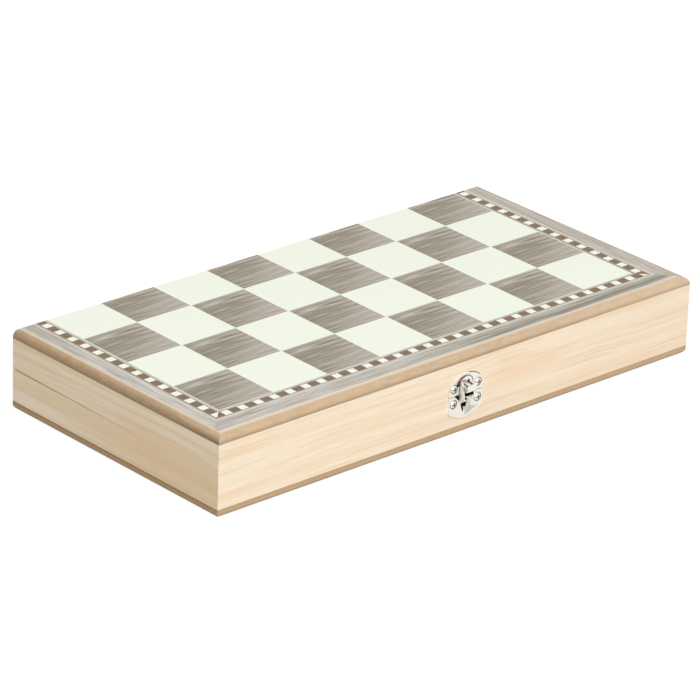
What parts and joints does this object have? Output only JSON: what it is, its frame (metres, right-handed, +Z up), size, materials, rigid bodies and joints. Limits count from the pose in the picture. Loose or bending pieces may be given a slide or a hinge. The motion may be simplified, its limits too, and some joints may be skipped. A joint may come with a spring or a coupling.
{
  "type": "games compendium box",
  "caption": "Folding wooden games box that opens flat on back hinges into a chess and draughts board outside and a backgammon board inside, with a front latch.",
  "frame": {"origin": "centre of the box's footprint, in the plane it lies on", "axes": "+X along the long side, to the right seen from the latch; -Y out of the front with the latch; +Z up"},
  "size_m": [0.34, 0.1765, 0.0466],
  "materials": {
    "pine": "clear satin lacquer",
    "fibreboard": "sanded and sealed",
    "chess_print": "varnished print",
    "backgammon_print": "varnished print",
    "hinge_metal": "nickel plated",
    "latch_metal": "bright nickel plated"
  },
  "bodies": {
    "base": {"base_panel": "fibreboard", "base_outer_print": "chess_print", "base_inner_print": "backgammon_print", "base_front_rail": "pine", "base_back_rail": "pine", "base_left_rail": "pine", "base_right_rail": "pine", "left_hinge_base_leaf": "hinge_metal", "right_hinge_base_leaf": "hinge_metal", "left_hinge_pin": "hinge_metal", "right_hinge_pin": "hinge_metal", "base_hinge_screws": "hinge_metal", "latch_plate": "latch_metal", "latch_plate_screws": "latch_metal", "hasp_pivot_pin": "latch_metal"},
    "lid": {"lid_panel": "fibreboard", "lid_outer_print": "chess_print", "lid_inner_print": "backgammon_print", "lid_front_rail": "pine", "lid_back_rail": "pine", "lid_left_rail": "pine", "lid_right_rail": "pine", "left_hinge_lid_leaf": "hinge_metal", "right_hinge_lid_leaf": "hinge_metal", "lid_hinge_screws": "hinge_metal", "latch_keeper": "latch_metal", "keeper_screws": "latch_metal"},
    "hasp": {"latch_hasp": "latch_metal"}
  },
  "joints": [
    {"name": "lid_hinge", "type": "hinge", "parent": "base", "child": "lid", "pos_m": [0, 0.08515, 0.0233], "axis": [-1, 0, 0], "range_deg": [0, 180]},
    {"name": "hasp_swing", "type": "hinge", "parent": "base", "child": "hasp", "pos_m": [0.0012, -0.087, 0.0198], "axis": [1, 0, 0], "range_deg": [0, 150]}
  ]
}
